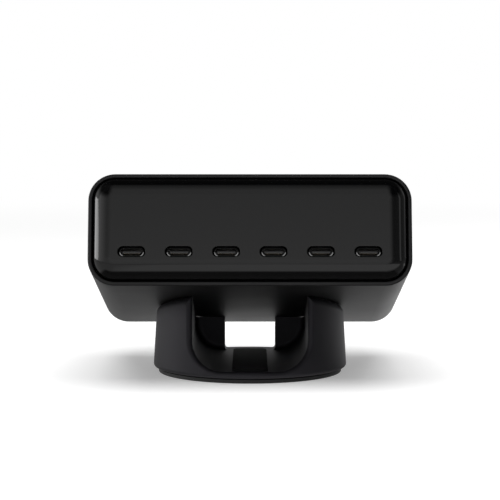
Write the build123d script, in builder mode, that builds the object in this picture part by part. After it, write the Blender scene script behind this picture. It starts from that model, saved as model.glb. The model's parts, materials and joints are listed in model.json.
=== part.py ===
import os
from math import cos, radians, sin, tan

from build123d import *

# Charger body, measured square to its own underside
body_width = 120.0
body_height = 42.0
body_depth = 97.0
body_corner = 10.0  # corner radius of the section
sleeve_wall = 1.5
rim_round = 0.8  # outer edge of the rim at both ends
rim_inner_round = 0.4

# How the charger lies on its stand
lean_angle = 14.8  # front raised
seat_height = 25.4  # underside above the desk, on the stand's axis
front_reach = 52.0  # stand's axis to the front rim, along the underside

# End panels, shallow trays pushed into the sleeve
panel_fit = 0.25
panel_wall = 2.0
front_proud = 5.0  # the front panel's face ahead of the sleeve's rim
front_skirt = 14.2
front_pillow = 7.0  # round of the front panel's edge
rear_recess = 0.6
rear_skirt = 7.0
rear_pillow = 1.2

# USB-C ports in a row on the front panel
port_count = 6
port_pitch = 17.4
port_height = 11.9  # centre line above the underside
port_cut_width = 10.0
port_cut_height = 3.8
port_edge = 0.35
shell_width = 8.94
shell_height = 3.16
shell_wall = 0.3
shell_length = 7.4
shell_setback = 1.5  # mouth behind the panel's face
tongue_width = 6.69
tongue_thickness = 0.7
tongue_setback = 0.9  # tip behind the shell's mouth
tongue_root_length = 1.6
tongue_step_length = 1.1
tongue_step_thickness = 1.3
tongue_fit = 0.02

# Main board and the rails that hold it in the sleeve
board_thickness = 1.6
board_side_gap = 0.3
board_end_gap = 0.5
rail_reach = 2.2
rail_thickness = 1.4
rail_slide_gap = 0.2
rail_end_gap = 0.6

# Mains inlet, a two-pole figure-eight socket in the rear panel
inlet_width = 20.0
inlet_height = 12.4
inlet_length = 19.0
inlet_round = 3.0
inlet_fit = 0.2
inlet_proud = 0.3
socket_radius = 4.2
socket_spread = 7.2  # between the centres of the two lobes
socket_waist = 7.6
socket_depth = 12.0
pin_diameter = 2.4
pin_spacing = 8.6
pin_setback = 1.2  # tip inside the socket's mouth
pin_tail = 2.5
pin_fit = 0.05
pin_tip = 0.6

# Output filter behind each port
can_diameter = 6.3
can_height = 8.0
can_gap = 1.6  # behind the receptacles
coil_side = 10.0
coil_height = 7.0
coil_gap = 1.8
coil_edge = 0.8

# Upright control board and the optocouplers behind it
control_width = 70.0
control_thickness = 1.2
control_head_gap = 12.0
control_gap = 2.0
opto_width = 4.6
opto_depth = 4.0
opto_height = 3.6
opto_spread = 10.0
opto_gap = 0.4

# Wound cores: the transformer right of the middle, the boost choke left
power_row_gap = 5.2  # from the control board to the power parts
transformer_width = 32.0
transformer_depth = 21.0
transformer_leg = 13.0
transformer_pad_gap = 6.0  # up to the heat spreader, filled by a pad
choke_width = 27.0
choke_depth = 19.0
choke_leg = 11.0
choke_pad_gap = 8.0
core_wall = 2.7
core_plate = 3.4
core_edge = 0.6
winding_fit = 0.3

# Bulk capacitors, four cans between the wound cores
bulk_diameter = 14.0
bulk_gap = 0.8  # from can to can
bulk_side_gap = 3.0  # to the wound cores
bulk_head_gap = 3.0
bulk_offset = 3.0
bulk_round = 0.8

# Mains filter: toroid, film capacitor, fuse and safety capacitor
toroid_offset = 38.0
toroid_outer = 18.0
toroid_inner = 10.0
toroid_height = 8.0
coil_wrap = 1.6  # thickness of wire around the toroid
coil_arc = 130.0
film_width = 18.0
film_depth = 8.0
film_height = 14.5
film_gap = 1.5  # from the inlet and the board's rear edge
fuse_width = 8.5
fuse_depth = 4.0
fuse_height = 7.5
safety_width = 9.0
safety_depth = 3.5
safety_height = 8.0
package_edge = 0.6

# Rectifier against its heatsink, and the power switches
bridge_width = 21.0
bridge_depth = 3.8
bridge_height = 15.0
sink_width = 30.0
sink_depth = 2.0
sink_head_gap = 8.0
bridge_behind = 6.5  # from the transformer to the rectifier
switch_width = 6.0
switch_depth = 4.5
switch_height = 1.0
switch_pitch = 9.0
switch_count = 3

# Heat path to the sleeve
spreader_thickness = 1.2
spreader_inset = 2.0  # inside the sleeve's flat
spreader_end_gap = 2.0
sheet_thickness = 0.4
pad_width = 26.0
pad_depth = 17.0

# Stand: a round tapered body, its top cut along the charger's underside
post_thickness = 15.85  # from the channel to the widest part of the stand
stand_draft = 3.4
stand_clear = 1.9  # lower edge above the desk
stand_lower_round = 1.4
stand_top_round = 3.0
post_wall = 3.0
channel_clear = 1.0  # each side of a charger stood on edge
channel_corner = 11.0
channel_floor = 4.4  # above the desk
mouth_round = 1.4
stop_thickness = 8.85  # rear stops, at the stand's widest
stop_round = 2.2
window_width = 20.4
window_round = 1.2

# Under the stand: rubber foot, base plate and its screws
foot_inset = 2.05  # inside the stand's widest
foot_height = 1.4
foot_round = 0.4
plate_inset = 3.45
plate_thickness = 1.5
plate_fit = 0.25
screw_inset = 8.35
screw_angle = 22.0  # from the side, front and rear
screw_diameter = 2.6
screw_head = 4.8
screw_length = 9.0
screw_pilot = 0.1  # play around the thread
boss_diameter = 6.0

# Soft strip on the channel's floor
strip_width = 13.4
strip_thickness = 0.7
strip_front_gap = 3.85  # from the stand's widest
strip_rear_gap = 1.5  # from the rear stops
strip_corner = 2.6
strip_round = 0.35

# The charger's underside, with its origin at the middle of the front edge
lean = radians(lean_angle)
underside = Plane(
    origin=(0, -front_reach * cos(lean), seat_height + front_reach * sin(lean)),
    x_dir=(1, 0, 0),
    z_dir=(0, sin(lean), cos(lean)),
)
depth_axis = Axis(underside.origin, underside.y_dir)
rise_axis = Axis(underside.origin, underside.z_dir)


def section(depth):
    # Upright plane across the charger, facing its front
    origin = underside.from_local_coords((0, depth, 0))
    return Plane(origin=origin, x_dir=underside.x_dir, z_dir=-underside.y_dir)


def level(height):
    return underside.offset(height)


def save(part, name):
    part.label = name
    export_step(part, f"parts/{name}.step")


os.makedirs("parts", exist_ok=True)

# Lengths and heights that several pieces share
middle_height = body_height / 2
panel_width = body_width - 2 * (sleeve_wall + panel_fit)
panel_height = body_height - 2 * (sleeve_wall + panel_fit)
panel_corner = body_corner - sleeve_wall - panel_fit
front_face = -front_proud
front_skirt_end = front_face + front_skirt
rear_face = body_depth - rear_recess
rear_skirt_end = rear_face - rear_skirt
board_top = port_height - shell_height / 2
board_bottom = board_top - board_thickness
board_rear = rear_face - panel_wall - board_end_gap
ceiling = body_height - sleeve_wall
upper_base = ceiling - spreader_thickness
headroom = upper_base - board_top
inlet_face = rear_face + inlet_proud
inlet_front = inlet_face - inlet_length
rail_front = front_skirt_end + rail_end_gap
rail_rear = rear_skirt_end - rail_end_gap
shell_mouth = front_face + shell_setback
shell_back = shell_mouth + shell_length
port_places = [
    ((index - (port_count - 1) / 2) * port_pitch, port_height)
    for index in range(port_count)
]

# Housing sleeve with a pair of board rails inside each side wall
with BuildPart() as housing_sleeve:
    with BuildSketch(section(0)):
        with Locations((0, middle_height)):
            RectangleRounded(body_width, body_height, body_corner)
            RectangleRounded(
                body_width - 2 * sleeve_wall,
                body_height - 2 * sleeve_wall,
                body_corner - sleeve_wall,
                mode=Mode.SUBTRACT,
            )
    extrude(amount=-body_depth)
    ends = housing_sleeve.faces().sort_by(depth_axis)
    rims = [ends[0], ends[-1]]
    inner_edges = [edge for rim in rims for wire in rim.inner_wires() for edge in wire.edges()]
    outer_edges = [edge for rim in rims for edge in rim.outer_wire().edges()]
    fillet(outer_edges, rim_round)
    fillet(inner_edges, rim_inner_round)
    rail_width = rail_reach + sleeve_wall / 2
    rail_middle = body_width / 2 - sleeve_wall - rail_reach + rail_width / 2
    with BuildSketch(section(rail_front)):
        for side in (-1, 1):
            with Locations((side * rail_middle, board_bottom - rail_thickness / 2)):
                Rectangle(rail_width, rail_thickness)
            with Locations((side * rail_middle, board_top + rail_slide_gap + rail_thickness / 2)):
                Rectangle(rail_width, rail_thickness)
    extrude(amount=rail_front - rail_rear)
save(housing_sleeve.part, "housing_sleeve")

# Front panel: a hollow-backed tray with a pillowed edge and the port openings
with BuildPart() as front_panel:
    with BuildSketch(section(front_face)):
        with Locations((0, middle_height)):
            RectangleRounded(panel_width, panel_height, panel_corner)
    extrude(amount=-front_skirt)
    fillet(front_panel.faces().sort_by(depth_axis)[0].edges(), front_pillow)
    offset(amount=-panel_wall, openings=front_panel.faces().sort_by(depth_axis)[-1])
    with BuildSketch(section(front_face)):
        with Locations(*port_places):
            SlotOverall(port_cut_width, port_cut_height)
    extrude(amount=-2 * panel_wall, mode=Mode.SUBTRACT)
    fillet(front_panel.faces().sort_by(depth_axis)[0].inner_wires().edges(), port_edge)
save(front_panel.part, "front_panel")

# Rear panel with the opening for the mains inlet
inlet_middle = board_top + inlet_height / 2
with BuildPart() as rear_panel:
    with BuildSketch(section(rear_face)):
        with Locations((0, middle_height)):
            RectangleRounded(panel_width, panel_height, panel_corner)
    extrude(amount=rear_skirt)
    fillet(rear_panel.faces().sort_by(depth_axis)[-1].edges(), rear_pillow)
    offset(amount=-panel_wall, openings=rear_panel.faces().sort_by(depth_axis)[0])
    with BuildSketch(section(rear_face)):
        with Locations((0, inlet_middle)):
            RectangleRounded(inlet_width + 2 * inlet_fit, inlet_height + 2 * inlet_fit, inlet_round)
    extrude(amount=2 * panel_wall, mode=Mode.SUBTRACT)
save(rear_panel.part, "rear_panel")

# Main board, narrow between the panels' skirts and wide in the rails
board_front = front_face + panel_wall + board_end_gap
board_wide = body_width - 2 * (sleeve_wall + board_side_gap)
board_narrow = panel_width - 2 * (front_pillow + board_side_gap)
with BuildPart() as main_board:
    with BuildSketch(level(board_bottom)):
        with Locations((0, (board_front + board_rear) / 2)):
            Rectangle(board_narrow, board_rear - board_front)
        with Locations((0, (rail_front + rail_rear) / 2)):
            Rectangle(board_wide, rail_rear - rail_front)
    extrude(amount=board_thickness)
save(main_board.part, "main_board")

# USB-C receptacles: a drawn steel shell around a tongue
inner_width = shell_width - 2 * shell_wall
inner_height = shell_height - 2 * shell_wall
for number, place in enumerate(port_places, 1):
    with BuildPart() as usb_shell:
        with BuildSketch(section(shell_mouth)):
            with Locations(place):
                SlotOverall(shell_width, shell_height)
                SlotOverall(inner_width, inner_height, mode=Mode.SUBTRACT)
        extrude(amount=-shell_length)
    save(usb_shell.part, f"usb_shell_{number}")

    root_front = shell_back - tongue_root_length
    tip_front = shell_mouth + tongue_setback
    with BuildPart() as usb_tongue:
        with BuildSketch(section(root_front)):
            with Locations(place):
                SlotOverall(inner_width - 2 * tongue_fit, inner_height - 2 * tongue_fit)
        extrude(amount=-tongue_root_length)
        with BuildSketch(section(root_front - tongue_step_length)):
            with Locations(place):
                Rectangle(tongue_width, tongue_step_thickness)
        extrude(amount=-tongue_step_length)
        with BuildSketch(section(tip_front)):
            with Locations(place):
                Rectangle(tongue_width, tongue_thickness)
        extrude(amount=tip_front - root_front)
    save(usb_tongue.part, f"usb_tongue_{number}")

# Output capacitors and inductors in line with the ports
can_row = shell_back + can_gap + can_diameter / 2
with BuildPart() as output_capacitors:
    with BuildSketch(level(board_top)):
        with Locations(*[(place[0], can_row) for place in port_places]):
            Circle(can_diameter / 2)
    extrude(amount=can_height)
    fillet(output_capacitors.edges().group_by(rise_axis)[-1], package_edge)
save(output_capacitors.part, "output_capacitors")

coil_row = can_row + can_diameter / 2 + coil_gap + coil_side / 2
with BuildPart() as output_inductors:
    with BuildSketch(level(board_top)):
        with Locations(*[(place[0], coil_row) for place in port_places]):
            RectangleRounded(coil_side, coil_side, coil_edge)
    extrude(amount=coil_height)
    chamfer(output_inductors.edges().group_by(rise_axis)[-1], coil_edge / 2)
save(output_inductors.part, "output_inductors")

# Control board on edge, and the optocouplers behind it
control_row = coil_row + coil_side / 2 + control_gap + control_thickness / 2
with BuildPart() as control_board:
    with BuildSketch(level(board_top)):
        with Locations((0, control_row)):
            Rectangle(control_width, control_thickness)
    extrude(amount=headroom - control_head_gap)
save(control_board.part, "control_board")

opto_row = control_row + control_thickness / 2 + opto_gap + opto_depth / 2
with BuildPart() as optocouplers:
    with BuildSketch(level(board_top)):
        with Locations((-opto_spread / 2, opto_row), (opto_spread / 2, opto_row)):
            Rectangle(opto_width, opto_depth)
    extrude(amount=opto_height)
save(optocouplers.part, "optocouplers")

# The power parts share the room behind the control board
power_front = control_row + control_thickness / 2 + power_row_gap
safety_row = inlet_front - film_gap - safety_depth / 2
bulk_pitch = bulk_diameter + bulk_gap
bulk_reach = bulk_diameter + bulk_gap / 2 + bulk_side_gap
transformer_height = headroom - transformer_pad_gap
choke_height = headroom - choke_pad_gap


# Wound cores: a round leg in a window that is open front and rear
def wound_core(spot, width, depth, height, leg):
    ring = width / 2 - core_wall
    window = height - 2 * core_plate
    with BuildPart() as core:
        with BuildSketch(level(board_top)):
            with Locations(spot):
                RectangleRounded(width, depth, core_edge)
        extrude(amount=height)
        with BuildSketch(level(board_top + core_plate)):
            with Locations(spot):
                Circle(ring)
                Circle(leg / 2, mode=Mode.SUBTRACT)
        extrude(amount=window, mode=Mode.SUBTRACT)
    with BuildPart() as winding:
        with BuildSketch(level(board_top + core_plate)):
            with Locations(spot):
                Circle(ring - winding_fit)
                Circle(leg / 2 + winding_fit, mode=Mode.SUBTRACT)
        extrude(amount=window - winding_fit)
    return core.part, winding.part


transformer_offset = bulk_reach - bulk_offset + transformer_width / 2
transformer_spot = (transformer_offset, power_front + transformer_depth / 2)
transformer_core, transformer_winding = wound_core(
    transformer_spot, transformer_width, transformer_depth, transformer_height, transformer_leg
)
save(transformer_core, "transformer_core")
save(transformer_winding, "transformer_winding")

choke_offset = bulk_reach + bulk_offset + choke_width / 2
choke_spot = (-choke_offset, power_front + choke_depth / 2)
choke_core, choke_winding = wound_core(
    choke_spot, choke_width, choke_depth, choke_height, choke_leg
)
save(choke_core, "boost_choke_core")
save(choke_winding, "boost_choke_winding")

# Bulk capacitors standing two by two
bulk_row = (power_front + safety_row - safety_depth / 2) / 2
with BuildPart() as bulk_capacitors:
    with BuildSketch(level(board_top)):
        with Locations((-bulk_offset, bulk_row)):
            with GridLocations(bulk_pitch, bulk_pitch, 2, 2):
                Circle(bulk_diameter / 2)
    extrude(amount=headroom - bulk_head_gap)
    fillet(bulk_capacitors.edges().group_by(rise_axis)[-1], bulk_round)
save(bulk_capacitors.part, "bulk_capacitors")

# Mains filter choke: a toroid that lies on its two windings
choke_rear = power_front + choke_depth
film_row = board_rear - film_gap - film_depth / 2
film_front = film_row - film_depth / 2
toroid_spot = (-toroid_offset, (choke_rear + film_front) / 2)
with BuildPart() as filter_core:
    with BuildSketch(level(board_top + coil_wrap)):
        with Locations(toroid_spot):
            Circle(toroid_outer / 2)
            Circle(toroid_inner / 2, mode=Mode.SUBTRACT)
    extrude(amount=toroid_height)
save(filter_core.part, "filter_choke_core")

coil_outer = toroid_outer / 2 + coil_wrap
coil_inner = toroid_inner / 2 - coil_wrap
toroid_plane = Plane(
    origin=level(board_top).from_local_coords((*toroid_spot, 0)),
    x_dir=underside.x_dir,
    z_dir=underside.z_dir,
)
with BuildPart() as filter_winding:
    with BuildSketch(toroid_plane):
        with BuildLine():
            outer_arc = CenterArc((0, 0), coil_outer, -coil_arc / 2, coil_arc)
            inner_arc = CenterArc((0, 0), coil_inner, -coil_arc / 2, coil_arc)
            Line(outer_arc @ 0, inner_arc @ 0)
            Line(outer_arc @ 1, inner_arc @ 1)
        make_face()
        mirror(about=Plane.YZ)
    extrude(amount=toroid_height + 2 * coil_wrap)
    add(filter_core.part, mode=Mode.SUBTRACT)
save(filter_winding.part, "filter_choke_winding")


def block(spots, width, depth, height, base):
    with BuildPart() as piece:
        with BuildSketch(level(base)):
            with Locations(*spots):
                RectangleRounded(width, depth, package_edge)
        extrude(amount=height)
    return piece.part


# Film capacitor left of the inlet, fuse right of it, safety capacitor ahead of it
film_spot = (-inlet_width / 2 - film_gap - film_width / 2, film_row)
save(block([film_spot], film_width, film_depth, film_height, board_top), "filter_capacitor")

fuse_spot = (inlet_width / 2 + film_gap + fuse_width / 2, board_rear - film_gap - fuse_depth / 2)
save(block([fuse_spot], fuse_width, fuse_depth, fuse_height, board_top), "mains_fuse")

safety_spot = (-inlet_width / 2 - film_gap, safety_row)
save(block([safety_spot], safety_width, safety_depth, safety_height, board_top), "safety_capacitor")

# Rectifier and its heatsink stand behind the transformer, the switches between them
bridge_row = power_front + transformer_depth + bridge_behind + bridge_depth / 2
bridge_spot = (transformer_offset, bridge_row)
save(block([bridge_spot], bridge_width, bridge_depth, bridge_height, board_top), "bridge_rectifier")

sink_spot = (transformer_offset, bridge_row + (bridge_depth + sink_depth) / 2)
sink_height = headroom - sink_head_gap
save(block([sink_spot], sink_width, sink_depth, sink_height, board_top), "rectifier_heatsink")

switch_row = power_front + transformer_depth + bridge_behind / 2
switch_spots = [
    (transformer_offset + (index - (switch_count - 1) / 2) * switch_pitch, switch_row)
    for index in range(switch_count)
]
save(block(switch_spots, switch_width, switch_depth, switch_height, board_top), "power_switches")

# Heat spreaders on the sleeve's floor and ceiling
spreader_width = body_width - 2 * (body_corner + spreader_inset)
spreader_front = front_skirt_end + spreader_end_gap
spreader_rear = rear_skirt_end - spreader_end_gap
spreader_depth = spreader_rear - spreader_front
spreader_spot = (0, (spreader_front + spreader_rear) / 2)
lower_spreader = block([spreader_spot], spreader_width, spreader_depth, spreader_thickness, sleeve_wall)
save(lower_spreader, "lower_heat_spreader")
upper_spreader = block([spreader_spot], spreader_width, spreader_depth, spreader_thickness, upper_base)
save(upper_spreader, "upper_heat_spreader")

# Insulating sheet on the lower spreader
sheet_base = sleeve_wall + spreader_thickness
sheet = block([spreader_spot], spreader_width, spreader_depth, sheet_thickness, sheet_base)
save(sheet, "insulating_sheet")

# Thermal pads under the board and above the wound cores
pad_base = sheet_base + sheet_thickness
core_spots = [transformer_spot, choke_spot]
lower_pads = block(core_spots, pad_width, pad_depth, board_bottom - pad_base, pad_base)
save(lower_pads, "lower_thermal_pads")
transformer_top = board_top + transformer_height
transformer_pad = block([transformer_spot], pad_width, pad_depth, transformer_pad_gap, transformer_top)
save(transformer_pad, "transformer_thermal_pad")
choke_top = board_top + choke_height
choke_pad = block([choke_spot], pad_width, pad_depth, choke_pad_gap, choke_top)
save(choke_pad, "boost_choke_thermal_pad")

# Mains inlet: a moulded block with a figure-eight socket
pin_places = [(-pin_spacing / 2, inlet_middle), (pin_spacing / 2, inlet_middle)]
with BuildPart() as ac_inlet_body:
    with BuildSketch(section(inlet_face)):
        with Locations((0, inlet_middle)):
            RectangleRounded(inlet_width, inlet_height, inlet_round)
    extrude(amount=inlet_length)
    with BuildSketch(section(inlet_face)):
        with Locations((-socket_spread / 2, inlet_middle), (socket_spread / 2, inlet_middle)):
            Circle(socket_radius)
        with Locations((0, inlet_middle)):
            Rectangle(socket_spread, socket_waist)
    extrude(amount=socket_depth, mode=Mode.SUBTRACT)
    with BuildSketch(section(inlet_face)):
        with Locations(*pin_places):
            Circle(pin_diameter / 2 + pin_fit)
    extrude(amount=inlet_length, mode=Mode.SUBTRACT)
save(ac_inlet_body.part, "ac_inlet_body")

with BuildPart() as ac_inlet_pins:
    with BuildSketch(section(inlet_face - pin_setback)):
        with Locations(*pin_places):
            Circle(pin_diameter / 2)
    extrude(amount=inlet_length - pin_setback + pin_tail)
    fillet(ac_inlet_pins.edges().group_by(depth_axis)[-1], pin_tip)
save(ac_inlet_pins.part, "ac_inlet_pins")

# Outer form of the stand: a tapered drum cut along the charger's underside
channel_width = body_height + 2 * channel_clear
stand_radius = channel_width / 2 + post_thickness
drum_height = seat_height + stand_radius * tan(lean)
with BuildPart() as stand_form:
    with BuildSketch(Plane.XY.offset(stand_clear)):
        Circle(stand_radius)
    extrude(amount=drum_height, taper=stand_draft)
    split(bisect_by=underside, keep=Keep.BOTTOM)
    fillet(stand_form.faces().sort_by(rise_axis)[-1].edges(), stand_top_round)
    fillet(stand_form.faces().sort_by(Axis.Z)[0].edges(), stand_lower_round)

# Channel through the stand, open to the front and up, rounded against the rear stops
stop_face = stand_radius - stop_thickness
with BuildPart() as channel:
    with BuildSketch(Plane.XZ.offset(-stop_face)):
        with Locations((0, channel_floor)):
            Rectangle(channel_width, 2 * drum_height, align=(Align.CENTER, Align.MIN))
        fillet(vertices().group_by(Axis.Y)[0], channel_corner)
    extrude(amount=stop_face + 2 * stand_radius)
    fillet(channel.faces().sort_by(Axis.Y)[-1].edges(), stop_round)

# Stand body: the drum with its channel, rear window and hollow posts
plate_radius = stand_radius - plate_inset
plate_top = foot_height + plate_thickness
pocket_radius = stand_radius - drum_height * tan(radians(stand_draft)) - post_wall
pocket_top = seat_height - pocket_radius * tan(lean) - post_wall
screw_radius = stand_radius - screw_inset
screw_spots = [
    (side * screw_radius * cos(radians(angle)), screw_radius * sin(radians(angle)))
    for side in (-1, 1)
    for angle in (-screw_angle, screw_angle)
]
with BuildPart() as stand_body:
    with BuildSketch(Plane.XY.offset(stand_clear)):
        Circle(stand_radius)
    extrude(amount=drum_height, taper=stand_draft)
    add(channel.part, mode=Mode.SUBTRACT)
    mouth = edges(Select.LAST).filter_by(lambda edge: edge.center().Y < -channel_width / 2)
    fillet(mouth, mouth_round)
    with BuildSketch(Plane.XZ):
        with Locations((0, channel_floor)):
            Rectangle(window_width, 2 * drum_height, align=(Align.CENTER, Align.MIN))
        fillet(vertices().group_by(Axis.Y)[0], window_round)
    extrude(amount=-2 * stand_radius, mode=Mode.SUBTRACT)
    add(stand_form.part, mode=Mode.INTERSECT)
    with BuildSketch(Plane.XY.offset(plate_top)):
        Circle(pocket_radius)
        Rectangle(channel_width + 2 * post_wall, 2 * pocket_radius, mode=Mode.SUBTRACT)
        with Locations(*screw_spots):
            Circle(boss_diameter / 2, mode=Mode.SUBTRACT)
    extrude(amount=pocket_top - plate_top, mode=Mode.SUBTRACT)
    with BuildSketch(Plane.XY.offset(stand_clear)):
        Circle(plate_radius + plate_fit)
    extrude(amount=plate_top - stand_clear, mode=Mode.SUBTRACT)
    with BuildSketch(Plane.XY.offset(plate_top)):
        with Locations(*screw_spots):
            Circle(screw_diameter / 2 + screw_pilot)
    extrude(amount=screw_length, mode=Mode.SUBTRACT)
save(stand_body.part, "stand_body")

# Base plate under the stand, with countersunk screws into the posts' bosses
with BuildPart() as base_plate:
    with BuildSketch(Plane.XY.offset(foot_height)):
        Circle(plate_radius)
    extrude(amount=plate_thickness)
    with Locations(Plane.XY.offset(foot_height)):
        with Locations(*screw_spots):
            Cone(
                screw_head / 2 + screw_pilot,
                screw_diameter / 2 + screw_pilot,
                plate_thickness,
                align=(Align.CENTER, Align.CENTER, Align.MIN),
                mode=Mode.SUBTRACT,
            )
save(base_plate.part, "base_plate")

with BuildPart() as base_screws:
    with Locations(Plane.XY.offset(foot_height)):
        with Locations(*screw_spots):
            Cone(
                screw_head / 2,
                screw_diameter / 2,
                plate_thickness,
                align=(Align.CENTER, Align.CENTER, Align.MIN),
            )
    with BuildSketch(Plane.XY.offset(plate_top)):
        with Locations(*screw_spots):
            Circle(screw_diameter / 2)
    extrude(amount=screw_length - screw_diameter)
save(base_screws.part, "base_screws")

# Rubber foot, a disc that covers the base plate
with BuildPart() as rubber_foot:
    with BuildSketch(Plane.XY):
        Circle(stand_radius - foot_inset)
    extrude(amount=foot_height)
    fillet(rubber_foot.faces().sort_by(Axis.Z)[0].edges(), foot_round)
save(rubber_foot.part, "rubber_foot")

# Soft strip along the channel's floor
strip_front = stand_radius - strip_front_gap
strip_rear = stop_face - strip_rear_gap
with BuildPart() as cradle_strip:
    with BuildSketch(Plane.XY.offset(channel_floor)):
        with Locations((0, (strip_rear - strip_front) / 2)):
            RectangleRounded(strip_width, strip_front + strip_rear, strip_corner)
    extrude(amount=strip_thickness)
    fillet(cradle_strip.faces().sort_by(Axis.Z)[-1].edges(), strip_round)
save(cradle_strip.part, "cradle_strip")
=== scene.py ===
import json
import math
import bpy
from mathutils import Matrix, Vector


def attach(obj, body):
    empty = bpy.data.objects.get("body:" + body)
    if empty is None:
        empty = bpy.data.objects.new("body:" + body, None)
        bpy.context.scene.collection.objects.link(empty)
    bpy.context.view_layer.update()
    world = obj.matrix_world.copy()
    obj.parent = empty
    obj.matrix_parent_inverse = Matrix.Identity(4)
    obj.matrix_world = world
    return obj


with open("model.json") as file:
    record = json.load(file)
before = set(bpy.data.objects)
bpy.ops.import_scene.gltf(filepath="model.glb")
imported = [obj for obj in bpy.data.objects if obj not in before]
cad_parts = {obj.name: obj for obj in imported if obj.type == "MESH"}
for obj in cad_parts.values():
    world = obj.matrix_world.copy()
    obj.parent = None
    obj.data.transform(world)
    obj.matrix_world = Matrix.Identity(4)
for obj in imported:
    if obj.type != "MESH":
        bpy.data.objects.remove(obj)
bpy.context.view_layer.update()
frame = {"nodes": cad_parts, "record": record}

nodes = frame["nodes"]
mm = 0.001

# how the charger lies, as in the solids
lean = {"angle": math.radians(14.8), "seat": 25.4 * mm, "reach": 52.0 * mm}
leanFrame = (
    Matrix.Translation((0, -lean["reach"] * math.cos(lean["angle"]),
                        lean["seat"] + lean["reach"] * math.sin(lean["angle"])))
    @ Matrix.Rotation(-lean["angle"], 4, "X")
)  # x across, y to the rear, z up from the underside
leanTurn = (lean["angle"], 0, 0)  # turns object coordinates to lie along the charger

# the row of ports, in the charger's own frame
ports = {"count": 6, "pitch": 17.4 * mm, "height": 11.9 * mm, "mouth": -3.5 * mm}


class Wire:
    def __init__(self, tree, socket):
        self.tree = tree
        self.socket = socket

    def sum(self, kind, first, second):
        return self.tree.add("ShaderNodeMath", {"operation": kind}, {0: first, 1: second})

    def __add__(self, other):
        return self.sum("ADD", self, other)

    def __radd__(self, other):
        return self.sum("ADD", other, self)

    def __sub__(self, other):
        return self.sum("SUBTRACT", self, other)

    def __rsub__(self, other):
        return self.sum("SUBTRACT", other, self)

    def __mul__(self, other):
        return self.sum("MULTIPLY", self, other)

    def __rmul__(self, other):
        return self.sum("MULTIPLY", other, self)

    def __truediv__(self, other):
        return self.sum("DIVIDE", self, other)

    def __mod__(self, other):
        return self.sum("MODULO", self, other)

    def __abs__(self):
        return self.sum("ABSOLUTE", self, 0)

    def angle(self, other):
        return self.sum("ARCTAN2", self, other)

    def above(self, other):
        return self.sum("GREATER_THAN", self, other)

    def most(self, other):
        return self.sum("MAXIMUM", self, other)


class NodeTree:
    def __init__(self, tree):
        self.tree = tree
        self.tree.nodes.clear()

    def add(self, kind, settings=None, inputs=None, output=0):
        node = self.tree.nodes.new(kind)
        for name, value in (settings or {}).items():
            if name == "stops":
                ramp = node.color_ramp.elements
                ramp.remove(ramp[-1])
                for place, colour in value:
                    ramp.new(place).color = colour
                ramp.remove(ramp[0])
            else:
                setattr(node, name, value)
        for name, value in (inputs or {}).items():
            if isinstance(value, Wire):
                self.tree.links.new(value.socket, node.inputs[name])
            elif isinstance(value, list):
                for wire in value:
                    self.tree.links.new(wire.socket, node.inputs[name])
            else:
                node.inputs[name].default_value = value
        return Wire(self, node.outputs[output]) if node.outputs else None

    def vector(self, x, y, z):
        return self.add("ShaderNodeCombineXYZ", inputs={"X": x, "Y": y, "Z": z})


class ShaderTree(NodeTree):
    def __init__(self, owner):
        owner.use_nodes = True
        self.owner = owner
        super().__init__(owner.node_tree)

    def axis(self, spot, name):
        return self.add("ShaderNodeSeparateXYZ", inputs={0: spot}, output=name)

    def ramp(self, value, levels):
        stops = [(place, grey(level)) for place, level in levels]
        return self.add("ShaderNodeValToRGB", {"stops": stops}, {"Fac": value})

    def place(self, turn=(0, 0, 0), scale=(1, 1, 1)):
        spot = self.add("ShaderNodeTexCoord", output="Object")
        return self.add("ShaderNodeMapping", inputs={"Vector": spot, "Rotation": turn, "Scale": scale})

    def noise(self, spot, scale, detail=2.0, rough=0.5):
        return self.add("ShaderNodeTexNoise", inputs={
            "Vector": spot, "Scale": scale, "Detail": detail, "Roughness": rough})

    def blend(self, factor, first, second):
        return self.add("ShaderNodeMix", {"data_type": "RGBA"}, {0: factor, 6: first, 7: second}, 2)

    def smooth(self, value, low, high, fromValue=0.0, toValue=1.0):
        return self.add("ShaderNodeMapRange", {"interpolation_type": "SMOOTHSTEP"}, {
            "Value": value, "From Min": low, "From Max": high, "To Min": fromValue, "To Max": toValue})

    def bump(self, height, strength, distance):
        return self.add("ShaderNodeBump", inputs={
            "Height": height, "Strength": strength, "Distance": distance})

    def surface(self, inputs):
        body = self.add("ShaderNodeBsdfPrincipled", inputs=inputs)
        self.add("ShaderNodeOutputMaterial", inputs={"Surface": body})
        return self.owner


def newFinish(name):
    return ShaderTree(bpy.data.materials.new(name))


def grey(value):
    return (value, value, value, 1)


def mouldedBlack(name, look):  # fine grain over a cloudy tone, for plastic, rubber, ferrite and silicone
    tree = newFinish(name)
    spot = tree.place()
    grain = tree.noise(spot, look["grainScale"], detail=3.0, rough=0.6)
    cloud = tree.noise(spot, look["cloudScale"], detail=3.0)
    rough = look["rough"] + (cloud - 0.5) * look["roughSpread"] + (grain - 0.5) * look["grainSpread"]
    colour = tree.blend(cloud, look["dark"], look["light"])
    return tree.surface({
        "Base Color": colour, "Roughness": rough, "IOR": look["ior"],
        "Specular Tint": look.get("tint", grey(1)), "Normal": tree.bump(grain, look["bump"], look["depth"])})


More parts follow.
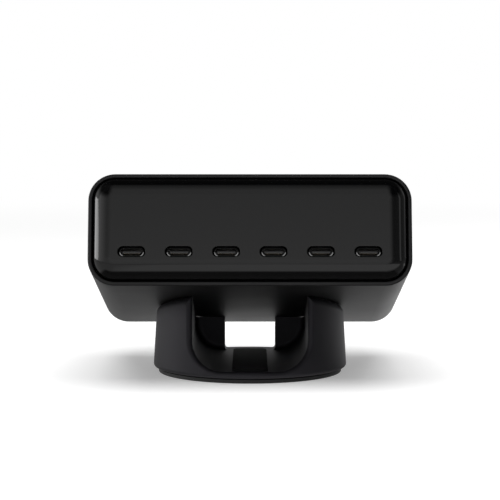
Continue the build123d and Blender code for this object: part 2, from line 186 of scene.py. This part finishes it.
satinLook = {"grainScale": 4200, "cloudScale": 45, "rough": 0.5, "roughSpread": 0.07, "grainSpread": 0.08,
             "dark": (0.006, 0.006, 0.0064, 1), "light": (0.008, 0.008, 0.0085, 1), "ior": 1.47,
             "bump": 0.10, "depth": 0.00004}
standLook = {"grainScale": 3600, "cloudScale": 55, "rough": 0.56, "roughSpread": 0.06, "grainSpread": 0.1,
             "dark": (0.0055, 0.0052, 0.0066, 1), "light": (0.0073, 0.0069, 0.0086, 1), "ior": 1.44,
             "tint": (0.99, 0.96, 1.06, 1), "bump": 0.12, "depth": 0.00005}
inletLook = {"grainScale": 3000, "cloudScale": 80, "rough": 0.45, "roughSpread": 0.06, "grainSpread": 0.1,
             "dark": (0.008, 0.008, 0.0085, 1), "light": (0.012, 0.012, 0.0125, 1), "ior": 1.5,
             "bump": 0.15, "depth": 0.00005}
tongueLook = {"grainScale": 5000, "cloudScale": 200, "rough": 0.35, "roughSpread": 0.1, "grainSpread": 0.1,
              "dark": (0.05, 0.05, 0.051, 1), "light": (0.065, 0.065, 0.066, 1), "ior": 1.5,
              "bump": 0.1, "depth": 0.00003}
packageLook = {"grainScale": 2500, "cloudScale": 90, "rough": 0.5, "roughSpread": 0.1, "grainSpread": 0.15,
               "dark": (0.012, 0.012, 0.013, 1), "light": (0.022, 0.022, 0.024, 1), "ior": 1.5,
               "bump": 0.2, "depth": 0.00006}
ferriteLook = {"grainScale": 1800, "cloudScale": 120, "rough": 0.62, "roughSpread": 0.12, "grainSpread": 0.2,
               "dark": (0.02, 0.02, 0.022, 1), "light": (0.045, 0.045, 0.048, 1), "ior": 1.6,
               "bump": 0.35, "depth": 0.00008}
rubberLook = {"grainScale": 2600, "cloudScale": 70, "rough": 0.6, "roughSpread": 0.1, "grainSpread": 0.12,
              "dark": (0.009, 0.009, 0.0094, 1), "light": (0.013, 0.013, 0.0135, 1), "ior": 1.5,
              "bump": 0.3, "depth": 0.00006}
stripLook = {"grainScale": 2600, "cloudScale": 70, "rough": 0.8, "roughSpread": 0.1, "grainSpread": 0.12,
             "dark": (0.0045, 0.0045, 0.005, 1), "light": (0.0065, 0.0065, 0.007, 1), "ior": 1.2,
             "bump": 0.3, "depth": 0.00006}
siliconeLook = {"grainScale": 1500, "cloudScale": 60, "rough": 0.7, "roughSpread": 0.1, "grainSpread": 0.1,
                "dark": (0.3, 0.32, 0.36, 1), "light": (0.36, 0.38, 0.42, 1), "ior": 1.45,
                "bump": 0.3, "depth": 0.0001}


def polishedPanel():  # high gloss front with faint smears, a few specks and a barely visible ripple
    look = {"rough": 0.07, "smear": 0.035, "smearScale": 38, "colour": (0.0013, 0.0013, 0.0014, 1),
            "ior": 1.49, "speck": grey(0.012), "speckScale": 900, "speckFrom": 0.72, "speckTo": 0.8,
            "speckRough": 0.05, "speckShare": 0.3, "ripple": 0.02, "rippleScale": 26, "rippleDepth": 0.0002}
    tree = newFinish("polishedPanel")
    spot = tree.place()
    smear = tree.noise(spot, look["smearScale"], detail=4.0)
    speck = tree.smooth(tree.noise(spot, look["speckScale"]), look["speckFrom"], look["speckTo"])
    ripple = tree.noise(spot, look["rippleScale"], detail=1.0)
    return tree.surface({
        "Base Color": tree.blend(speck * look["speckShare"], look["colour"], look["speck"]),
        "Roughness": look["rough"] + smear * look["smear"] + speck * look["speckRough"], "IOR": look["ior"],
        "Normal": tree.bump(ripple, look["ripple"], look["rippleDepth"])})


metalGrain = {"bump": 0.1, "depth": 0.00003, "cloudSpread": 0.08}


def brushedMetal(name, look):
    tree = newFinish(name)
    streak = tree.noise(tree.place(leanTurn, look["stretch"]), look["scale"], detail=3.0, rough=0.6)
    cloud = tree.noise(tree.place(), look["cloudScale"])
    rough = look["rough"] + (streak - 0.5) * look["spread"] + (cloud - 0.5) * metalGrain["cloudSpread"]
    return tree.surface({
        "Base Color": tree.blend(streak, look["dark"], look["light"]), "Metallic": 1.0, "Roughness": rough,
        "Normal": tree.bump(streak, metalGrain["bump"], metalGrain["depth"])})


aluminiumLook = {"stretch": (0.05, 1, 1), "scale": 1500, "cloudScale": 60, "rough": 0.34, "spread": 0.2,
                 "dark": (0.62, 0.63, 0.64, 1), "light": (0.78, 0.79, 0.8, 1)}
canLook = {"stretch": (1, 1, 0.04), "scale": 1200, "cloudScale": 90, "rough": 0.3, "spread": 0.15,
           "dark": (0.55, 0.56, 0.58, 1), "light": (0.7, 0.71, 0.72, 1)}
screwLook = {"stretch": (1, 1, 0.1), "scale": 2000, "cloudScale": 200, "rough": 0.32, "spread": 0.2,
             "dark": (0.4, 0.41, 0.42, 1), "light": (0.55, 0.56, 0.58, 1)}
pinLook = {"stretch": (1, 0.05, 1), "scale": 2500, "cloudScale": 200, "rough": 0.22, "spread": 0.15,
           "dark": (0.62, 0.6, 0.56, 1), "light": (0.75, 0.74, 0.7, 1)}
goldLook = {"stretch": (1, 0.1, 1), "scale": 4000, "cloudScale": 300, "rough": 0.28, "spread": 0.1,
            "dark": (0.72, 0.6, 0.38, 1), "light": (0.85, 0.75, 0.55, 1)}


def portSteel():  # steel bright inside; round the mouth painted shade, with a painted highlight at its lower ends
    # the mouth's face gets a near-black grey as painted shade and a pale grey as a painted highlight at its
    # lower ends
    look = {"stretch": (1, 0.08, 1), "scale": 3000, "rough": 0.26, "spread": 0.14,
            "dark": grey(0.5), "light": grey(0.62), "paintedShade": grey(0.012), "paintedHighlight": grey(0.4),
            "edgeFrom": 0.02 * mm, "edgeTo": 0.12 * mm, "endFrom": 3.0 * mm, "endTo": 3.6 * mm,
            "lowFrom": -0.5 * mm, "lowTo": 0.1 * mm}
    tree = newFinish("portSteel")
    streak = tree.noise(tree.place(leanTurn, look["stretch"]), look["scale"], detail=3.0, rough=0.6)
    spot = tree.place(leanTurn)
    depth = tree.axis(spot, "Y") + (lean["reach"] + lean["seat"] * math.sin(lean["angle"]))
    height = tree.axis(spot, "Z") - (lean["seat"] * math.cos(lean["angle"]) + ports["height"])
    across = abs((tree.axis(spot, "X") / ports["pitch"] + ports["count"]) % 1 - 0.5) * ports["pitch"]
    # mask of the painted highlight: the lower ends of each mouth's face
    highlightEnds = tree.smooth(across, look["endFrom"], look["endTo"])
    highlightEnds = highlightEnds * tree.smooth(height, look["lowFrom"], look["lowTo"], 1, 0)
    inside = tree.smooth(depth, ports["mouth"] + look["edgeFrom"], ports["mouth"] + look["edgeTo"])
    # the mouth's face: painted shade, lightened by the painted highlight at its lower ends
    mouth = tree.blend(highlightEnds, look["paintedShade"], look["paintedHighlight"])
    return tree.surface({
        "Base Color": tree.blend(inside, mouth, tree.blend(streak, look["dark"], look["light"])),
        "Metallic": 1.0, "Roughness": look["rough"] + (streak - 0.5) * look["spread"],
        "Normal": tree.bump(streak, metalGrain["bump"], metalGrain["depth"])})


def woundCopper():  # turns of enamelled wire as ridges
    look = {"turnScale": 420.0, "waver": 0.4, "waverDetail": 1.0, "turnShare": 0.7, "cloudShare": 0.3,
            "cloudScale": 250, "dark": (0.22, 0.07, 0.018, 1), "light": (0.55, 0.22, 0.07, 1),
            "metallic": 0.7, "rough": 0.28, "roughSpread": 0.15, "bump": 0.6, "depth": 0.0003}
    tree = newFinish("woundCopper")
    spot = tree.place(leanTurn)
    turns = tree.add("ShaderNodeTexWave", {"bands_direction": "Z"}, {
        "Vector": spot, "Scale": look["turnScale"], "Distortion": look["waver"],
        "Detail": look["waverDetail"]}, "Fac")
    cloud = tree.noise(spot, look["cloudScale"])
    share = turns * look["turnShare"] + cloud * look["cloudShare"]
    return tree.surface({
        "Base Color": tree.blend(share, look["dark"], look["light"]), "Metallic": look["metallic"],
        "Roughness": look["rough"] + cloud * look["roughSpread"],
        "Normal": tree.bump(turns, look["bump"], look["depth"])})


def solderMask():  # green board with tracks under the mask
    look = {"trackScale": 120.0, "offset": 0.37, "gap": 0.035, "gapSoft": 0.2, "cloudScale": 150,
            "dark": (0.008, 0.055, 0.024, 1), "light": (0.02, 0.11, 0.05, 1),
            "rough": 0.3, "roughSpread": 0.15, "bump": 0.25, "depth": 0.00005}
    tree = newFinish("solderMask")
    spot = tree.place(leanTurn)
    track = tree.add("ShaderNodeTexBrick", {"offset": look["offset"]}, {
        "Vector": spot, "Scale": look["trackScale"], "Mortar Size": look["gap"],
        "Mortar Smooth": look["gapSoft"]}, "Fac")
    cloud = tree.noise(spot, look["cloudScale"])
    return tree.surface({
        "Base Color": tree.blend(track, look["dark"], look["light"]),
        "Roughness": look["rough"] + cloud * look["roughSpread"],
        "Normal": tree.bump(track, look["bump"], look["depth"])})


def milkyFilm():
    look = {"cloudScale": 90, "dark": (0.62, 0.6, 0.52, 1), "light": (0.74, 0.73, 0.68, 1),
            "rough": 0.35, "roughSpread": 0.2, "bump": 0.1, "depth": 0.0002}
    tree = newFinish("milkyFilm")
    cloud = tree.noise(tree.place(), look["cloudScale"], detail=3.0)
    return tree.surface({
        "Base Color": tree.blend(cloud, look["dark"], look["light"]),
        "Roughness": look["rough"] + cloud * look["roughSpread"],
        "Normal": tree.bump(cloud, look["bump"], look["depth"])})


finishes = {
    "satin_shell": mouldedBlack("satinShell", satinLook),
    "gloss_panel": polishedPanel(),
    "stand_plastic": mouldedBlack("standPlastic", standLook),
    "foot_rubber": mouldedBlack("footRubber", rubberLook),
    "port_steel": portSteel(),
    "tongue_plastic": mouldedBlack("tonguePlastic", tongueLook),
    "inlet_plastic": mouldedBlack("inletPlastic", inletLook),
    "pin_metal": brushedMetal("pinMetal", pinLook),
    "circuit_board": solderMask(),
    "can_sleeve": brushedMetal("canSleeve", canLook),
    "ferrite": mouldedBlack("ferrite", ferriteLook),
    "winding_copper": woundCopper(),
    "component_plastic": mouldedBlack("componentPlastic", packageLook),
    "heat_aluminium": brushedMetal("heatAluminium", aluminiumLook),
    "insulating_film": milkyFilm(),
    "thermal_silicone": mouldedBlack("thermalSilicone", siliconeLook),
    "screw_steel": brushedMetal("screwSteel", screwLook),
}
for subpart in frame["record"]["subparts"]:
    mesh = nodes[subpart["node"]].data
    mesh.materials.clear()
    mesh.materials.append(finishes[subpart["material_slot"]])
strip = nodes["cradle_strip"].data
strip.materials.clear()
strip.materials.append(mouldedBlack("softStrip", stripLook))
print("finishes on", len(nodes), "solids")

# contact pads on both faces of every tongue, every third one out from the middle longer
contactLook = {
    "pads": 12, "padPitch": 0.5 * mm, "padWidth": 0.25 * mm, "padThickness": 0.06 * mm, "padSink": 0.01 * mm,
    "shortPad": 3.0 * mm, "longPad": 3.4 * mm, "padRear": 1.15 * mm, "tongueHalf": 0.35 * mm,
    "ports": ports["count"], "portPitch": ports["pitch"], "portHeight": ports["height"],
}


def makeContacts():
    group = bpy.data.node_groups.new("portContacts", "GeometryNodeTree")
    tree = NodeTree(group)
    group.interface.new_socket("Geometry", in_out="OUTPUT", socket_type="NodeSocketGeometry")
    for name, value in contactLook.items():
        kind = "NodeSocketInt" if isinstance(value, int) else "NodeSocketFloat"
        group.interface.new_socket(name, in_out="INPUT", socket_type=kind)
    size = {name: tree.add("NodeGroupInput", output=name) for name in contactLook}
    fromMiddle = abs(tree.add("GeometryNodeInputIndex") - (size["pads"] - 1) / 2)
    length = size["shortPad"] + (size["longPad"] - size["shortPad"]) * (fromMiddle % 3).above(2)
    row = tree.add("GeometryNodeMeshLine", {"mode": "OFFSET"}, {
        "Count": size["pads"],
        "Start Location": tree.vector((1 - size["pads"]) / 2 * size["padPitch"], 0, 0),
        "Offset": tree.vector(size["padPitch"], 0, 0)})
    spread = tree.add("GeometryNodeSetPosition", inputs={
        "Geometry": row, "Offset": tree.vector(0, size["padRear"] - length / 2, 0)})
    pads = tree.add("GeometryNodeInstanceOnPoints", inputs={
        "Points": spread, "Instance": tree.add("GeometryNodeMeshCube"),
        "Scale": tree.vector(size["padWidth"], length, size["padThickness"])})
    lift = size["tongueHalf"] + size["padThickness"] / 2 - size["padSink"]
    faces = [
        tree.add("GeometryNodeTransform", inputs={
            "Geometry": pads, "Translation": tree.vector(0, 0, lift * side)})
        for side in (-1, 1)
    ]
    line = tree.add("GeometryNodeMeshLine", {"mode": "OFFSET"}, {
        "Count": size["ports"],
        "Start Location": tree.vector((1 - size["ports"]) / 2 * size["portPitch"], 0, size["portHeight"]),
        "Offset": tree.vector(size["portPitch"], 0, 0)})
    everyPort = tree.add("GeometryNodeInstanceOnPoints", inputs={
        "Points": line, "Instance": tree.add("GeometryNodeJoinGeometry", inputs={"Geometry": faces})})
    solid = tree.add("GeometryNodeRealizeInstances", inputs={"Geometry": everyPort})
    plated = tree.add("GeometryNodeSetMaterial", inputs={
        "Geometry": solid, "Material": brushedMetal("contactGold", goldLook)})
    tree.add("NodeGroupOutput", inputs={"Geometry": plated})
    contacts = bpy.data.objects.new("portContacts", bpy.data.meshes.new("portContacts"))
    bpy.context.scene.collection.objects.link(contacts)
    modifier = contacts.modifiers.new("portContacts", "NODES")
    modifier.node_group = group
    for item in group.interface.items_tree:
        if item.in_out == "INPUT":
            modifier[item.identifier] = contactLook[item.name]
    mesh = bpy.data.meshes.new_from_object(contacts.evaluated_get(bpy.context.evaluated_depsgraph_get()))
    contacts.modifiers.clear()
    contacts.data = mesh
    mesh.transform(leanFrame)
    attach(contacts, "root")
    print("contacts", len(mesh.polygons), "faces")


makeContacts()


# floor: white where nothing shades it; in mirrors dim below the front, ahead of it and at both sides
floorLook = {
    "size": 8.0, "albedo": 0.8, "glow": 0.3, "near": 0.35, "far": 1.1, "dim": 0.08,
    "front": {"start": (-0.115, -0.082), "end": (-0.03, 0.02), "side": (0.09, 0.14), "ray": 0.03},
    "ahead": {"end": (-0.1, -0.06), "share": 0.35},
    "right": {"side": (0.02, 0.07), "start": (-0.13, -0.08), "end": (-0.02, 0.05), "far": (0.18, 0.32),
              "share": 0.9},
    "left": {"side": (-0.07, -0.02), "share": 0.58},
}


def dimPlaces(tree, x, y):
    look = floorLook["front"]
    front = tree.smooth(y, *look["start"]) * tree.smooth(y, *look["end"], 1, 0)
    front = front * tree.smooth(abs(x), *look["side"], 1, 0)
    front = front * tree.add("ShaderNodeLightPath", output="Ray Length").above(look["ray"])
    look = floorLook["ahead"]
    ahead = tree.smooth(y, *look["end"], look["share"], 0)
    look = floorLook["right"]
    right = tree.smooth(y, *look["start"]) * tree.smooth(y, *look["end"], 1, 0)
    right = right * tree.smooth(x, *look["side"])
    right = right.most(tree.smooth(x, *look["far"])) * look["share"]
    look = floorLook["left"]
    left = tree.smooth(x, *look["side"], look["share"], 0)
    return front.most(ahead).most(right).most(left)


def makeFloor():
    half = floorLook["size"] / 2
    mesh = bpy.data.meshes.new("floor")
    corners = [(-half, -half, 0), (half, -half, 0), (half, half, 0), (-half, half, 0)]
    mesh.from_pydata(corners, [], [(0, 1, 2, 3)])
    floor = bpy.data.objects.new("floor", mesh)
    bpy.context.scene.collection.objects.link(floor)
    tree = newFinish("paleFloor")
    spot = tree.add("ShaderNodeTexCoord", output="Object")
    away = tree.add("ShaderNodeVectorMath", {"operation": "LENGTH"}, {0: spot}, "Value")
    x, y = tree.axis(spot, "X"), tree.axis(spot, "Y")
    seen = tree.add("ShaderNodeLightPath", output="Is Camera Ray")
    mirrored = tree.add("ShaderNodeLightPath", output="Is Glossy Ray")
    through = tree.add("ShaderNodeLightPath", output="Is Transmission Ray")
    shown = seen.most(mirrored).most(through)
    matte = tree.add("ShaderNodeBsdfDiffuse", inputs={"Color": grey(floorLook["albedo"])})
    glow = tree.add("ShaderNodeEmission", inputs={"Color": grey(1), "Strength": shown * floorLook["glow"]})
    near = tree.add("ShaderNodeAddShader", inputs={0: matte, 1: glow})
    white = tree.add("ShaderNodeEmission", inputs={"Color": grey(1), "Strength": shown})
    distance = tree.smooth(away, floorLook["near"], floorLook["far"])
    mixed = tree.add("ShaderNodeMixShader", inputs={0: distance * shown, 1: near, 2: white})
    hidden = mirrored * dimPlaces(tree, x, y)
    dark = tree.add("ShaderNodeEmission", inputs={"Color": grey(1), "Strength": floorLook["dim"]})
    whole = tree.add("ShaderNodeMixShader", inputs={0: hidden, 1: mixed, 2: dark})
    tree.add("ShaderNodeOutputMaterial", inputs={"Surface": whole})
    mesh.materials.append(tree.owner)


makeFloor()

# studio: levels by angle, from the front horizon over the top to the back, and round each side
worldLook = {
    "fill": 0.24, "asideFrom": 0.1, "asideTo": 0.45, "fallFrom": 0.3, "fallTo": 0.65, "topSide": 0.05,
    "dome": [(0, 0.66), (0.125, 0.78), (0.1467, 0.57), (0.3, 0.53), (0.37, 0.36), (0.44, 0.24),
             (0.5, 0.1), (0.52, 0.0), (0.833, 0.01), (0.917, 0.9), (1, 1)],
    "left": [(0, 0.55), (0.2, 0.6), (0.38, 1), (0.46, 1.3), (0.5, 0.8), (0.66, 0.8), (0.76, 0.2), (1, 0.2)],
    "right": [(0.08, 0.35), (0.15, 0.2), (0.2, 0.13), (0.385, 0.13), (0.41, 0.7), (0.435, 0.65),
              (0.47, 0.13), (0.62, 0.13), (0.7, 0.4), (0.76, 0.2), (1, 0.2)],
}


def makeWorld():
    world = bpy.data.worlds.new("studio")
    bpy.context.scene.world = world
    tree = ShaderTree(world)
    aim = tree.add("ShaderNodeTexCoord", output="Generated")
    x, y, z = [tree.axis(aim, name) for name in "XYZ"]
    dome = tree.ramp(z.angle(0 - y) / math.pi, worldLook["dome"])
    turn = abs(x).angle(0 - y) / math.pi
    side = tree.blend(x.above(0), tree.ramp(turn, worldLook["left"]), tree.ramp(turn, worldLook["right"]))
    fall = tree.smooth(z, worldLook["fallFrom"], worldLook["fallTo"], 1.0, worldLook["topSide"])
    aside = tree.smooth(abs(x), worldLook["asideFrom"], worldLook["asideTo"])
    level = dome * (1 - aside) + side * fall * aside
    seen = tree.add("ShaderNodeLightPath", output="Is Camera Ray")
    seen = seen.most(tree.add("ShaderNodeLightPath", output="Is Transmission Ray"))
    mirrored = tree.add("ShaderNodeLightPath", output="Is Glossy Ray") * (1 - seen)
    strength = seen + level * mirrored + worldLook["fill"] * (1 - seen.most(mirrored))
    back = tree.add("ShaderNodeBackground", inputs={"Color": grey(1), "Strength": strength})
    tree.add("ShaderNodeOutputWorld", inputs={"Surface": back})


makeWorld()

lampAim = Vector((0, 0, 40 * mm))
lampLook = {
    "leftBox": {"at": (-0.885, 0.16, 0.15), "size": (0.54, 0.17), "watts": 1.0, "mirrored": True},
    "backStrip": {"at": (0.45, 0.8, 0.3), "size": (0.14, 0.4), "watts": 0.6, "mirrored": True},
    "topBox": {"at": (0, -0.2, 1.2), "size": (1.3, 1.3), "watts": 18.5, "mirrored": False},
}


def makeLamp(name, look):
    lamp = bpy.data.lights.new(name, "AREA")
    lamp.shape = "RECTANGLE"
    lamp.size, lamp.size_y = look["size"]
    lamp.energy = look["watts"]
    holder = bpy.data.objects.new(name, lamp)
    bpy.context.scene.collection.objects.link(holder)
    holder.location = look["at"]
    holder.visible_glossy = look["mirrored"]
    aim = lampAim - Vector(look["at"])
    holder.rotation_euler = aim.to_track_quat("-Z", "Y").to_euler()


for name, look in lampLook.items():
    makeLamp(name, look)

view = {"at": (0, -0.8192, 0.11786), "pitch": math.radians(4.91),
        "focal": 2100, "frame": 500, "sensor": 36.0}


def makeCamera():
    camera = bpy.data.cameras.new("camera")
    camera.sensor_width = view["sensor"]
    camera.lens = view["focal"] / view["frame"] * view["sensor"]
    holder = bpy.data.objects.new("camera", camera)
    bpy.context.scene.collection.objects.link(holder)
    holder.location = view["at"]
    holder.rotation_euler = (math.pi / 2 - view["pitch"], 0, 0)
    bpy.context.scene.camera = holder


makeCamera()
bpy.context.scene.view_settings.view_transform = "Standard"
print("studio and camera set")
